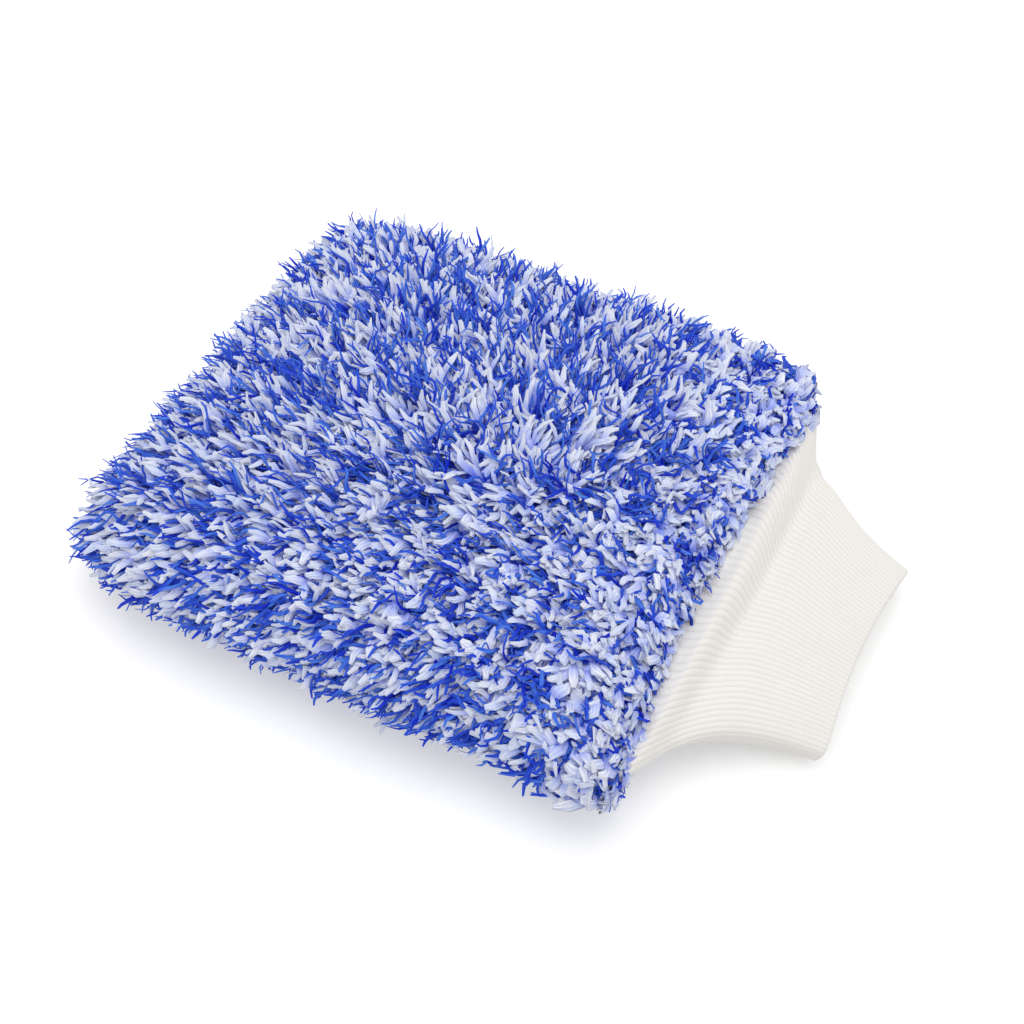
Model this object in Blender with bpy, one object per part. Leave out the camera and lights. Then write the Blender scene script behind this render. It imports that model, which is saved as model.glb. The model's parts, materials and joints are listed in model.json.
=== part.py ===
"""A plush wash mitt: two pile panels on their ground knit, a lining bag, overlock seams and a rib cuff.

Units are metres, +Z is up and +X runs from the finger end to the wrist. The mitt lies on z = 0 and the
origin is at the middle of its footprint.
"""
import math
from collections import namedtuple

import bmesh
import bpy

# Outer size of the plush body
PILE_LENGTH = 0.218
PILE_WIDTH = 0.200
UPPER_PILE = 0.0134
LOWER_PILE = 0.0094
RIM_PILE = 0.013
FLOOR_CRUSH = 0.0025
MOUTH_PILE = 0.002

# Clumps that the long yarn of the upper pile falls into, where three waves cross
CLUMP_RISE = 0.002
CLUMP_PITCH = 0.016
CLUMP_PITCH_STEP = 0.13
CLUMP_WAVES = 3
CLUMP_TURN = math.radians(20)

# Fabric layers inside the pile
GROUND_KNIT = 0.0015
LINING = 0.0008
SEAM_ALLOWANCE = 0.005
LINING_ALLOWANCE = 0.004
THREAD = 0.0008
THREAD_REACH = 0.0026
LINING_THREAD_REACH = 0.0027
SEAM_SPACE = 0.0005
CLEARANCE = 0.0003

# Rib cuff, measured along its own slope from the fold line at its root
FOLD_SETBACK = 0.009
FABRIC_RUN_OUT = 0.048
CUFF_LENGTH = 0.058
CUFF_WALL = 0.0025
ROOT_HALF_WIDTH = 0.082
ROOT_RADIUS = 0.010
WRIST_HALF_WIDTH = 0.0425
WRIST_HALF_HEIGHT = 0.0072
TAPER_LENGTH = 0.025
ROLL_AT = 0.006
ROLL_RISE = 0.0007
VALLEY_AT = 0.0135
VALLEY_DEPTH = 0.0016
CREASE_WIDTH = 0.004
ROOT_WRAP = math.radians(25)
ROOT_CLEARANCE = 0.00045
SIDE_CLEARANCE = 0.0009
MOUTH_CLEARANCE = 0.0006
STITCH_BAND = 0.005

# Travel of the cuff about its fold line
FOLD_UP = math.radians(45)
FOLD_DOWN = math.radians(20)

# Roundness of the soft forms
PLAN_POWER = 8
CROWN_POWER = 7
TUBE_POWER = 4

# Mesh density
GRID = 16
CLUMP_GRID = 36
RIM_CROWDING = 0.25
TUBE_SIDES = 48
CUFF_STATIONS = 10
KNUCKLE_STEPS = 48
WELD_REACH = 0.0001
JOIN_REACH = 0.000001
ON_PLANE = 0.0000001
SHARP_ANGLE = math.radians(40)

Plan = namedtuple("Plan", "x_min x_max half_width")


def crown(rho):
    """Height of a pillow, 1 at its middle and 0 at its rim."""
    return math.sqrt(max(0.0, 1.0 - rho ** CROWN_POWER))


def clump(x, y):
    """How far the pile stands above or below its mean height at a place on the mitt."""
    total = 0.0
    for wave in range(CLUMP_WAVES):
        turn = CLUMP_TURN + math.pi * wave / CLUMP_WAVES
        pitch = CLUMP_PITCH * (1.0 + CLUMP_PITCH_STEP * wave)
        total += math.cos(math.tau * (x * math.cos(turn) + y * math.sin(turn)) / pitch)
    return CLUMP_RISE * total / 2


def cuff_half_height(s):
    """Half the thickness of the flattened cuff at distance s from its fold line."""
    taper = ROOT_RADIUS + (WRIST_HALF_HEIGHT - ROOT_RADIUS) * s / CUFF_LENGTH
    roll = ROLL_RISE * math.exp(-((s - ROLL_AT) / CREASE_WIDTH) ** 2)
    valley = VALLEY_DEPTH * math.exp(-((s - VALLEY_AT) / CREASE_WIDTH) ** 2)
    start = min(1.0, s / ROLL_AT)
    return taper + (roll - valley) * start


def cuff_half_width(s):
    """Half the width of the cuff, which draws in quickly behind the wide mouth."""
    end = math.exp(-CUFF_LENGTH / TAPER_LENGTH)
    share = (math.exp(-s / TAPER_LENGTH) - end) / (1.0 - end)
    return WRIST_HALF_WIDTH + (ROOT_HALF_WIDTH - WRIST_HALF_WIDTH) * share


FOLD_FROM_TIP = PILE_LENGTH - FOLD_SETBACK

# Insets of each layer from the outer edge of the pile, at the height of the seam
GROUND_INSET = RIM_PILE + CLEARANCE
GROUND_INNER_INSET = GROUND_INSET + GROUND_KNIT
ALLOWANCE_TIP = GROUND_INNER_INSET + SEAM_ALLOWANCE
THREAD_TIP = ALLOWANCE_TIP + CLEARANCE + THREAD
LINING_THREAD_TIP = THREAD_TIP + SEAM_SPACE
LINING_TIP = LINING_THREAD_TIP + THREAD + CLEARANCE
LINING_INSET = LINING_TIP + LINING_ALLOWANCE
POCKET_INSET = LINING_INSET + LINING

# Heights of each layer from the seam, at the middle of the mitt
FABRIC_END = FOLD_FROM_TIP + FABRIC_RUN_OUT
MOUTH_HALF_SPAN = FABRIC_END / 2 - GROUND_INNER_INSET
MOUTH_RHO = (FOLD_FROM_TIP - FABRIC_END / 2) / MOUTH_HALF_SPAN
GROUND_INNER = (ROOT_RADIUS + MOUTH_CLEARANCE) / crown(MOUTH_RHO)
GROUND_OUTER = GROUND_INNER + GROUND_KNIT
PILE_INNER = GROUND_OUTER + CLEARANCE
PILE_TOP = PILE_INNER + UPPER_PILE
SEAM_Z = PILE_INNER + LOWER_PILE
LINING_OUTER = GROUND_INNER - CLEARANCE
POCKET = LINING_OUTER - LINING
HALF_SLIT = CLEARANCE / 2

# The cuff slopes down until its wrist edge meets the floor
CUFF_SLOPE = math.asin(SEAM_Z / math.hypot(CUFF_LENGTH, WRIST_HALF_HEIGHT))
CUFF_SLOPE -= math.atan2(WRIST_HALF_HEIGHT, CUFF_LENGTH)
CUFF_REACH = CUFF_LENGTH * math.cos(CUFF_SLOPE)
CUFF_REACH += (WRIST_HALF_HEIGHT - CUFF_WALL / 2) * math.sin(CUFF_SLOPE)

TIP_X = -(FOLD_FROM_TIP + CUFF_REACH) / 2
FOLD_X = TIP_X + FOLD_FROM_TIP
BODY_PLAN = Plan(TIP_X, TIP_X + PILE_LENGTH, PILE_WIDTH / 2)


def fabric_plan(inset):
    """Outline of a fabric layer, which would run on past the mouth where it is cut off."""
    return Plan(TIP_X + inset, TIP_X + FABRIC_END - inset, PILE_WIDTH / 2 - inset)


def clear_scene():
    for old in list(bpy.data.objects):
        bpy.data.objects.remove(old, do_unlink=True)


def new_collection(name):
    collection = bpy.data.collections.new(name)
    bpy.context.scene.collection.children.link(collection)
    return collection


def fabric(name, colour, roughness):
    made = bpy.data.materials.new(name)
    made.use_nodes = True
    shader = made.node_tree.nodes["Principled BSDF"]
    shader.inputs["Base Color"].default_value = (*colour, 1.0)
    shader.inputs["Roughness"].default_value = roughness
    shader.inputs["Metallic"].default_value = 0.0
    return made


def add_object(name, bm, collection):
    """Closes the bmesh into a named object with its faces turned outwards."""
    bmesh.ops.recalc_face_normals(bm, faces=bm.faces)
    mesh = bpy.data.meshes.new(name)
    bm.to_mesh(mesh)
    bm.free()
    made = bpy.data.objects.new(name, mesh)
    collection.objects.link(made)
    return made


def add_part(name, bm, finish):
    made = add_object(name, bm, PARTS)
    made.data.materials.append(finish)
    made.data.shade_smooth()
    made.data.set_sharp_from_angle(angle=SHARP_ANGLE)
    return made


def add_cutter(name, bm):
    made = add_object(name, bm, CUTTERS)
    made.hide_render = True
    made.display_type = "WIRE"
    return made


def cut(part, *tools):
    for tool in tools:
        boolean = part.modifiers.new(tool.name, "BOOLEAN")
        boolean.operation = "DIFFERENCE"
        boolean.object = tool
    weld = part.modifiers.new("clean edges", "WELD")
    weld.merge_threshold = WELD_REACH


def on_plan(plan, p, q, rho):
    """Point of a rounded rectangle: (p, q) gives its direction and rho its share of the way out."""
    norm = (abs(p) ** PLAN_POWER + abs(q) ** PLAN_POWER) ** (1.0 / PLAN_POWER)
    if norm == 0.0:
        return (plan.x_min + plan.x_max) / 2, 0.0
    half_length = (plan.x_max - plan.x_min) / 2
    x = (plan.x_min + plan.x_max) / 2 + half_length * rho * p / norm
    return x, plan.half_width * rho * q / norm


def slice_off(bm, point, normal):
    """Cuts a closed form off flat at a plane and closes the cut."""
    geometry = bm.verts[:] + bm.edges[:] + bm.faces[:]
    sliced = bmesh.ops.bisect_plane(
        bm, geom=geometry, dist=ON_PLANE, plane_co=point, plane_no=normal, clear_outer=True)
    edges = [item for item in sliced["geom_cut"] if isinstance(item, bmesh.types.BMEdge)]
    bmesh.ops.contextual_create(bm, geom=edges)


def half_pillow(plan, height, side, base=HALF_SLIT, x_limit=None, on_floor=False, clumped=False):
    """Closed half of a pillow, above the seam for side 1 and below it for side -1."""
    bm, _ = pillow_skin(plan, height, side, base, clumped)
    edges = [edge for edge in bm.edges if edge.is_boundary]
    bmesh.ops.contextual_create(bm, geom=edges)
    if x_limit is not None:
        slice_off(bm, (x_limit, 0.0, 0.0), (1.0, 0.0, 0.0))
    if on_floor:
        slice_off(bm, (0.0, 0.0, 0.0), (0.0, 0.0, -1.0))
    return bm


def pillow_skin(plan, height, side, base, clumped=False):
    """Open skin of half a pillow, with the direction of each point on its rim.

    A clumped skin has more points, which crowd together only near the steep rim.
    """
    bm = bmesh.new()
    steps = CLUMP_GRID if clumped else GRID
    bmesh.ops.create_grid(bm, x_segments=steps, y_segments=steps, size=1.0)
    for face in bm.faces[:]:
        outwards = sorted(face.verts, key=lambda vert: abs(vert.co.x) + abs(vert.co.y))
        bmesh.utils.face_split(face, outwards[0], outwards[-1])
    rim = {vert: (vert.co.x, vert.co.y) for vert in bm.verts if vert.is_boundary}
    for vert in bm.verts:
        p, q = vert.co.x, vert.co.y
        out = max(abs(p), abs(q))
        rho = out + RIM_CROWDING * (out - out ** 5) if clumped else 1.0 - (1.0 - out) ** 2
        x, y = on_plan(plan, p, q, rho)
        local_height = height + clump(x, y) if clumped else height
        vert.co = (x, y, SEAM_Z + side * max(base, local_height * crown(rho)))
    return bm, rim


def brimmed_pillow(plan, height, side, brim, thickness, x_limit):
    """Half a pillow with a flat brim round its rim, such as a seam allowance turned outwards."""
    bm, rim = pillow_skin(plan, height, side, HALF_SLIT + thickness)
    edges = [edge.verts[:] for edge in bm.edges if edge.is_boundary]
    inner = {vert: vert for vert in rim}
    for level in (HALF_SLIT + thickness, HALF_SLIT):
        outer = {}
        for vert, (p, q) in rim.items():
            outer[vert] = bm.verts.new((*on_plan(brim, p, q, 1.0), SEAM_Z + side * level))
        for first, second in edges:
            bm.faces.new((inner[first], inner[second], outer[second], outer[first]))
        inner = outer
    bmesh.ops.contextual_create(bm, geom=[edge for edge in bm.edges if edge.is_boundary])
    slice_off(bm, (x_limit, 0.0, 0.0), (1.0, 0.0, 0.0))
    return bm


def flat_disc(plan, low, high, x_limit=None):
    """Rounded rectangle between two heights, with the same corners as the pillows."""
    bm = bmesh.new()
    side = [2.0 * step / GRID - 1.0 for step in range(GRID)]
    square = [(p, -1.0) for p in side] + [(1.0, q) for q in side]
    square += [(-p, 1.0) for p in side] + [(-1.0, -q) for q in side]
    loop = [bm.verts.new((*on_plan(plan, p, q, 1.0), low)) for p, q in square]
    extrude_face(bm, loop, (0.0, 0.0, high - low))
    if x_limit is not None:
        slice_off(bm, (x_limit, 0.0, 0.0), (1.0, 0.0, 0.0))
    return bm


def extrude_face(bm, loop, step):
    face = bm.faces.new(loop)
    lifted = bmesh.ops.extrude_face_region(bm, geom=[face])["geom"]
    moved = [item for item in lifted if isinstance(item, bmesh.types.BMVert)]
    bmesh.ops.translate(bm, verts=moved, vec=step)
    return bm


def fold_knuckle():
    """Round clearance about the fold line in which the root of the cuff turns."""
    bm = bmesh.new()
    width = ROOT_HALF_WIDTH + ROOT_CLEARANCE
    radius = ROOT_RADIUS + ROOT_CLEARANCE
    half_turn = TUBE_SIDES // 2
    chain = []
    for step in range(half_turn + 1):
        y, z = tube_point(width, radius, math.pi * step / half_turn)
        chain.append(bm.verts.new((FOLD_X, y, SEAM_Z + z)))
    edges = [bm.edges.new(pair) for pair in zip(chain, chain[1:])]
    bmesh.ops.spin(bm, geom=chain + edges, cent=(FOLD_X, 0.0, SEAM_Z), axis=(0.0, 1.0, 0.0),
                   angle=math.tau, steps=KNUCKLE_STEPS, use_merge=True)
    bmesh.ops.remove_doubles(bm, verts=bm.verts, dist=JOIN_REACH)
    return bm


def fold_wedge():
    """Room above and below the cuff for its travel, tangent to the knuckle."""
    radius = ROOT_RADIUS + CLEARANCE
    bulge = 0.0
    for step in range(1, CUFF_STATIONS + 1):
        s = CUFF_LENGTH * step / CUFF_STATIONS
        h = cuff_half_height(s)
        reach = math.hypot(h, s)
        if reach > ROOT_RADIUS:
            bulge = max(bulge, math.acos(ROOT_RADIUS / reach) - math.atan2(s, h))
    run = CUFF_LENGTH + FOLD_SETBACK
    corners = []
    for turn, sign in ((FOLD_UP - CUFF_SLOPE + bulge, 1), (FOLD_DOWN + CUFF_SLOPE + bulge, -1)):
        touch = (-radius * math.sin(turn), radius * math.cos(turn))
        far = (touch[0] + run * math.cos(turn), touch[1] + run * math.sin(turn))
        corners.append([(FOLD_X + x, SEAM_Z + sign * z) for x, z in (touch, far)])
    outline = corners[0] + corners[1][::-1]
    width = ROOT_HALF_WIDTH + SIDE_CLEARANCE
    bm = bmesh.new()
    loop = [bm.verts.new((x, -width, z)) for x, z in outline]
    return extrude_face(bm, loop, (0.0, 2 * width, 0.0))


def tube_point(half_width, half_height, angle):
    """Point on the flattened section of the cuff."""
    power = 2.0 / TUBE_POWER
    y = half_width * math.copysign(abs(math.cos(angle)) ** power, math.cos(angle))
    z = half_height * math.copysign(abs(math.sin(angle)) ** power, math.sin(angle))
    return y, z


def tube_ring(s, half_width, half_height):
    """Section of the cuff across its own axis, at distance s from the fold line."""
    angles = [math.tau * step / TUBE_SIDES for step in range(TUBE_SIDES)]
    points = [tube_point(half_width, half_height, angle) for angle in angles]
    return [(s, y, z) for y, z in points]


def root_ring(wrap, inset):
    """Section of the root wrapped back round the fold line, so that it turns in its own place."""
    flat = tube_ring(0.0, ROOT_HALF_WIDTH - inset, ROOT_RADIUS - inset)
    return [(-abs(z) * math.sin(wrap), y, z * math.cos(wrap)) for x, y, z in flat]


def closed_loft(rings):
    """Skin through rings of like count, the last joined back to the first."""
    bm = bmesh.new()
    loops = [[bm.verts.new(point) for point in ring] for ring in rings]
    for loop, following in zip(loops, loops[1:] + loops[:1]):
        for i in range(len(loop)):
            j = (i + 1) % len(loop)
            bm.faces.new((loop[i], loop[j], following[j], following[i]))
    bmesh.ops.remove_doubles(bm, verts=bm.verts, dist=JOIN_REACH)
    return bm


def cuff_rings(inset, wraps):
    rings = [root_ring(wrap, inset) for wrap in wraps]
    fold = CUFF_LENGTH - CUFF_WALL / 2
    for step in range(CUFF_STATIONS + 1):
        s = fold * step / CUFF_STATIONS
        rings.append(tube_ring(s, cuff_half_width(s) - inset, cuff_half_height(s) - inset))
    return rings


def stitch_ring(inset):
    """Edge of the stitched band, inside the cuff."""
    s = STITCH_BAND
    return tube_ring(s, cuff_half_width(s) - inset, cuff_half_height(s) - inset)


def seat_on_fold(part):
    """Puts a piece of the cuff on the fold line, sloping down to the floor."""
    part.parent = FOLD_LINE
    return part


clear_scene()
PARTS = new_collection("wash_mitt")
CUTTERS = new_collection("cutters")

FOLD_LINE = bpy.data.objects.new("cuff_fold_line", None)
FOLD_LINE.location = (FOLD_X, 0.0, SEAM_Z)
FOLD_LINE.rotation_euler = (0.0, CUFF_SLOPE, 0.0)
PARTS.objects.link(FOLD_LINE)

BLUE_PILE = fabric("blue and white chenille pile", (0.205, 0.262, 0.624), 0.95)
GROUND = fabric("ground knit", (0.50, 0.53, 0.66), 0.9)
LINER = fabric("lining cloth", (0.80, 0.80, 0.80), 0.85)
SEWING = fabric("overlock thread", (0.72, 0.73, 0.78), 0.7)
RIB = fabric("off-white rib knit", (0.92, 0.90, 0.86), 0.9)

knuckle = add_cutter("cut_fold_knuckle", fold_knuckle())
wedge = add_cutter("cut_fold_wedge", fold_wedge())

# Each side of the bag: pile, the ground knit it grows from, and the lining
SIDES = {"upper": 1, "lower": -1}
for label, side in SIDES.items():
    outer_height = PILE_TOP if side > 0 else SEAM_Z + FLOOR_CRUSH
    pile = add_part(
        f"{label}_pile",
        half_pillow(BODY_PLAN, outer_height, side, x_limit=FOLD_X + MOUTH_PILE, on_floor=True,
                    clumped=side > 0), BLUE_PILE)
    pile_hollow = add_cutter(
        f"cut_{label}_pile",
        half_pillow(fabric_plan(RIM_PILE), PILE_INNER, side, base=0.0, x_limit=FOLD_X + CLEARANCE))
    cut(pile, pile_hollow, knuckle, wedge)

    ground = add_part(
        f"{label}_ground_knit",
        half_pillow(fabric_plan(GROUND_INSET), GROUND_OUTER, side, x_limit=FOLD_X), GROUND)
    ground_hollow = add_cutter(
        f"cut_{label}_ground",
        half_pillow(fabric_plan(GROUND_INNER_INSET), GROUND_INNER, side, base=HALF_SLIT + GROUND_KNIT,
                    x_limit=FOLD_X + ROOT_RADIUS))
    ground_window = add_cutter(
        f"cut_{label}_ground_window",
        flat_disc(fabric_plan(ALLOWANCE_TIP), SEAM_Z - GROUND_OUTER / 2, SEAM_Z + GROUND_OUTER / 2,
                  x_limit=FOLD_X + ROOT_RADIUS))
    cut(ground, ground_hollow, ground_window, knuckle, wedge)

    lining = add_part(
        f"{label}_lining",
        brimmed_pillow(fabric_plan(LINING_INSET), LINING_OUTER, side, fabric_plan(LINING_TIP), LINING,
                       x_limit=FOLD_X), LINER)
    lining_hollow = add_cutter(
        f"cut_{label}_lining",
        half_pillow(fabric_plan(POCKET_INSET), POCKET, side, base=0.0, x_limit=FOLD_X + ROOT_RADIUS))
    cut(lining, lining_hollow, knuckle, wedge)


def overlock(name, outer_inset, inner_inset, slot_outer, slot_inner, cloth):
    """Thread sleeve over the raw edges of two seam allowances, open on the side that the cloth enters."""
    grip = HALF_SLIT + cloth + CLEARANCE
    reach = grip + THREAD
    past_mouth = FOLD_X + ROOT_RADIUS
    sleeve_form = flat_disc(fabric_plan(outer_inset), SEAM_Z - reach, SEAM_Z + reach, x_limit=FOLD_X)
    hole_form = flat_disc(fabric_plan(inner_inset), SEAM_Z - 2 * reach, SEAM_Z + 2 * reach,
                          x_limit=past_mouth)
    slot_form = flat_disc(fabric_plan(slot_outer), SEAM_Z - grip, SEAM_Z + grip, x_limit=past_mouth)
    core_form = flat_disc(fabric_plan(slot_inner), SEAM_Z - 2 * grip, SEAM_Z + 2 * grip,
                          x_limit=past_mouth + ROOT_RADIUS)
    sleeve = add_part(name, sleeve_form, SEWING)
    hole = add_cutter(f"cut_{name}_hole", hole_form)
    slot = add_cutter(f"cut_{name}_slot", slot_form)
    slot_core = add_cutter(f"cut_{name}_core", core_form)
    cut(slot, slot_core)
    cut(sleeve, hole, slot, knuckle, wedge)
    return sleeve


overlock("shell_seam_overlock", ALLOWANCE_TIP - THREAD_REACH, THREAD_TIP,
         ALLOWANCE_TIP - 2 * THREAD_REACH, THREAD_TIP - THREAD, GROUND_KNIT)
overlock("lining_seam_overlock", LINING_THREAD_TIP, LINING_TIP + LINING_THREAD_REACH,
         LINING_THREAD_TIP + THREAD, LINING_TIP + 2 * LINING_THREAD_REACH, LINING)

# The cuff is a doubled rib knit: its outer layer, the fold at the wrist, and the layer inside
outer_skin = cuff_rings(0.0, (ROOT_WRAP, ROOT_WRAP / 2))
wrist_fold = tube_ring(CUFF_LENGTH, WRIST_HALF_WIDTH - CUFF_WALL / 2, WRIST_HALF_HEIGHT - CUFF_WALL / 2)
inner_skin = cuff_rings(CUFF_WALL, (ROOT_WRAP, ROOT_WRAP / 2))[::-1]
seat_on_fold(add_part("rib_cuff", closed_loft(outer_skin + [wrist_fold] + inner_skin), RIB))

# Overlock band inside the root, over the raw edge of the cuff
band_outer = CUFF_WALL + CLEARANCE
band_inner = band_outer + THREAD
stitch_outer = [root_ring(ROOT_WRAP, band_outer), stitch_ring(band_outer)]
stitch_inner = [stitch_ring(band_inner), root_ring(ROOT_WRAP, band_inner)]
seat_on_fold(add_part("cuff_seam_overlock", closed_loft(stitch_outer + stitch_inner), SEWING))

LENGTH = FOLD_FROM_TIP + CUFF_REACH
HEIGHT = SEAM_Z + PILE_TOP
print(f"box: length {1000 * LENGTH:.1f} mm, mean height of the pile {1000 * HEIGHT:.1f} mm")
print(f"fold line at x {1000 * FOLD_X:.2f} mm, z {1000 * SEAM_Z:.2f} mm")
print(f"cuff slope {math.degrees(CUFF_SLOPE):.2f} degrees")
print(f"pocket half height {1000 * POCKET:.2f} mm")
print(f"pocket half width {1000 * (PILE_WIDTH / 2 - POCKET_INSET):.1f} mm")
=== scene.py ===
# %% [markdown]
# # A plush wash mitt
# The mitt is a bag of knitted cloth with a deep pile of blue and white yarn, a thin lining for the hand and
# a doubled rib cuff that folds about the mouth of the bag. The solids give its sizes and how it moves. This
# lesson dresses them: thousands of yarn ends, a ribbed knit sheet, the cloth panels and the sewn edges.

# %% Load the frame
import json
import math
from collections import namedtuple

import bpy
import numpy as np
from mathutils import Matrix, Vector

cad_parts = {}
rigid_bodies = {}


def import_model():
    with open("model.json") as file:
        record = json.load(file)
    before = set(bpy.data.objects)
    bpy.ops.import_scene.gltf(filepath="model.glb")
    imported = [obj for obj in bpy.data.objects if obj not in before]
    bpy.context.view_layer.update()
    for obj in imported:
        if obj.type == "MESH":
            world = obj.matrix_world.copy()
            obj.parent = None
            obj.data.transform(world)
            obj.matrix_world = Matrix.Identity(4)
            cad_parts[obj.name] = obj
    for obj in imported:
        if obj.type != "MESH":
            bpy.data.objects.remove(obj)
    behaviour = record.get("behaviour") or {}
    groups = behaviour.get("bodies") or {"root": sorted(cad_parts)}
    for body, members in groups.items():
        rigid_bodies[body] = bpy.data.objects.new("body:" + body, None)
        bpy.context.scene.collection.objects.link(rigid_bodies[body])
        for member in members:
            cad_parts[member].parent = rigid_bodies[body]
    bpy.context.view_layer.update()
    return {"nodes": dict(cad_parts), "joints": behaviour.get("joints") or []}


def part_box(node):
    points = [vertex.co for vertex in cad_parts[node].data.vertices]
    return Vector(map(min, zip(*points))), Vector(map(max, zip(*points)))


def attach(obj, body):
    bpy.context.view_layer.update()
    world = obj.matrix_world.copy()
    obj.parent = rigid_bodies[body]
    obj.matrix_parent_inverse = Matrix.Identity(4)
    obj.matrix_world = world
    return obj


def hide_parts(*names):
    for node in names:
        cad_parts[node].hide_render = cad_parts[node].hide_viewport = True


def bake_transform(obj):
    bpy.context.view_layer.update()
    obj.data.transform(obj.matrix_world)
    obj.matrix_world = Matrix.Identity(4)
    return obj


for old in list(bpy.data.objects):
    bpy.data.objects.remove(old, do_unlink=True)
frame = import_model()
FOLD = np.array(frame["joints"][0]["pos_m"])
MOUTH_X = FOLD[0]
SEAM_Z = FOLD[2]
print(f"solids: {len(frame['nodes'])}, mouth at x {1000 * MOUTH_X:.1f} mm, seam at z {1000 * SEAM_Z:.1f} mm")

# %% [markdown]
# The camera stands on the near side, a little towards the wrist, and looks down at the mitt. Its angle and
# distance were fitted to the corners of the bag and the ends of the cuff.

# %% Camera
CAMERA_TARGET = Vector((-0.002, -0.006, 0.020))
CAMERA_AZIMUTH = math.radians(27.0)
CAMERA_ELEVATION = math.radians(52.5)
CAMERA_DISTANCE = 0.461
FOCAL_PIXELS = 1269
IMAGE_PIXELS = 1024
SENSOR_MM = 36.0


def direction(azimuth, elevation):
    """Unit vector from the object towards a viewer or a lamp."""
    flat = math.cos(elevation)
    return Vector((math.sin(azimuth) * flat, -math.cos(azimuth) * flat, math.sin(elevation)))


def aim(thing, target, towards, distance):
    thing.location = target + towards * distance
    thing.rotation_euler = (-towards).to_track_quat("-Z", "Y").to_euler()


lens = bpy.data.cameras.new("camera")
lens.sensor_width = SENSOR_MM
lens.lens = FOCAL_PIXELS / IMAGE_PIXELS * SENSOR_MM
lens.clip_start = 0.01
camera = bpy.data.objects.new("camera", lens)
bpy.context.scene.collection.objects.link(camera)
bpy.context.scene.camera = camera
aim(camera, CAMERA_TARGET, direction(CAMERA_AZIMUTH, CAMERA_ELEVATION), CAMERA_DISTANCE)
print(f"camera at {[round(x, 3) for x in camera.location]}, lens {lens.lens:.1f} mm")

# %% [markdown]
# The mitt lies on a plain white table under soft studio light. A large lamp almost overhead draws the faint
# shadow close round the mitt, and the pale surround fills it. The table adds a little light of its own for
# the camera alone, so it reads as white while the shadow stays.

# %% Table and light
KEY_SIZE = 1.1
KEY_DISTANCE = 1.2
KEY_AZIMUTH = math.radians(200)
KEY_ELEVATION = math.radians(84)
KEY_WATTS = 4.8
KEY_TARGET = Vector((0.0, 0.0, 0.02))
SURROUND_STRENGTH = 0.82
TABLE_SIZE = 6.0
TABLE_WHITE = 0.84
TABLE_LIFT = 0.30

scene = bpy.context.scene
scene.view_settings.view_transform = "Standard"

world = bpy.data.worlds.new("pale surround")
scene.world = world
world.use_nodes = True
world_nodes = world.node_tree.nodes
world_links = world.node_tree.links
surround = world_nodes["Background"]
surround.inputs["Color"].default_value = (1.0, 1.0, 1.0, 1.0)
surround.inputs["Strength"].default_value = SURROUND_STRENGTH
bright = world_nodes.new("ShaderNodeBackground")
bright.inputs["Color"].default_value = (1.0, 1.0, 1.0, 1.0)
seen = world_nodes.new("ShaderNodeLightPath")
choose = world_nodes.new("ShaderNodeMixShader")
world_links.new(seen.outputs["Is Camera Ray"], choose.inputs["Fac"])
world_links.new(surround.outputs[0], choose.inputs[1])
world_links.new(bright.outputs[0], choose.inputs[2])
world_links.new(choose.outputs[0], world_nodes["World Output"].inputs["Surface"])

lamp = bpy.data.lights.new("soft key", "AREA")
lamp.shape = "DISK"
lamp.size = KEY_SIZE
lamp.energy = KEY_WATTS
key = bpy.data.objects.new("soft key", lamp)
scene.collection.objects.link(key)
aim(key, KEY_TARGET, direction(KEY_AZIMUTH, KEY_ELEVATION), KEY_DISTANCE)

table_mesh = bpy.data.meshes.new("table")
half = TABLE_SIZE / 2
table_mesh.from_pydata(
    [(-half, -half, 0.0), (half, -half, 0.0), (half, half, 0.0), (-half, half, 0.0)], [], [(0, 1, 2, 3)])
table = bpy.data.objects.new("table", table_mesh)
scene.collection.objects.link(table)
white_top = bpy.data.materials.new("white table")
white_top.use_nodes = True
top_nodes = white_top.node_tree.nodes
top_links = white_top.node_tree.links
top_nodes.clear()
matte = top_nodes.new("ShaderNodeBsdfDiffuse")
matte.inputs["Color"].default_value = (TABLE_WHITE, TABLE_WHITE, TABLE_WHITE, 1.0)
lift = top_nodes.new("ShaderNodeEmission")
ray = top_nodes.new("ShaderNodeLightPath")
lift_amount = top_nodes.new("ShaderNodeMath")
lift_amount.operation = "MULTIPLY"
lift_amount.inputs[1].default_value = TABLE_LIFT
both = top_nodes.new("ShaderNodeAddShader")
top_out = top_nodes.new("ShaderNodeOutputMaterial")
top_links.new(ray.outputs["Is Camera Ray"], lift_amount.inputs[0])
top_links.new(lift_amount.outputs[0], lift.inputs["Strength"])
top_links.new(matte.outputs[0], both.inputs[0])
top_links.new(lift.outputs[0], both.inputs[1])
top_links.new(both.outputs[0], top_out.inputs["Surface"])
table_mesh.materials.append(white_top)
print(f"key {KEY_WATTS} W at {KEY_DISTANCE} m, surround {SURROUND_STRENGTH}")

# %% [markdown]
# Each half of the bag is a pillow on a rounded rectangle: flat on top and steep at the rim. The cloth layers
# lie inside each other, so one formula with a smaller outline and height gives every layer. The boxes of the
# solids say how large each is. The long sides draw in a little where the plush is slack. The near corner of
# the finger end draws in too, and reaches further out.

# %% Form of the bag
PLAN_POWER = 8
CROWN_POWER = 7
RUN_OUT = 0.048
GRID_STEPS = 96
Waist = namedtuple("Waist", "depth at run")
NEAR_WAIST = Waist(0.0040, 0.035, 0.030)
FAR_WAIST = Waist(0.0035, -0.045, 0.045)
NEAR_TIP_PULL = 0.0045
NEAR_TIP_PUSH = 0.0050
NEAR_TIP_FROM = -0.070
NEAR_TIP_RUN = 0.050

Bag = namedtuple("Bag", "x_min x_max half_width height side")
PILE_TIP_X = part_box("upper_pile")[0].x


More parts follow.
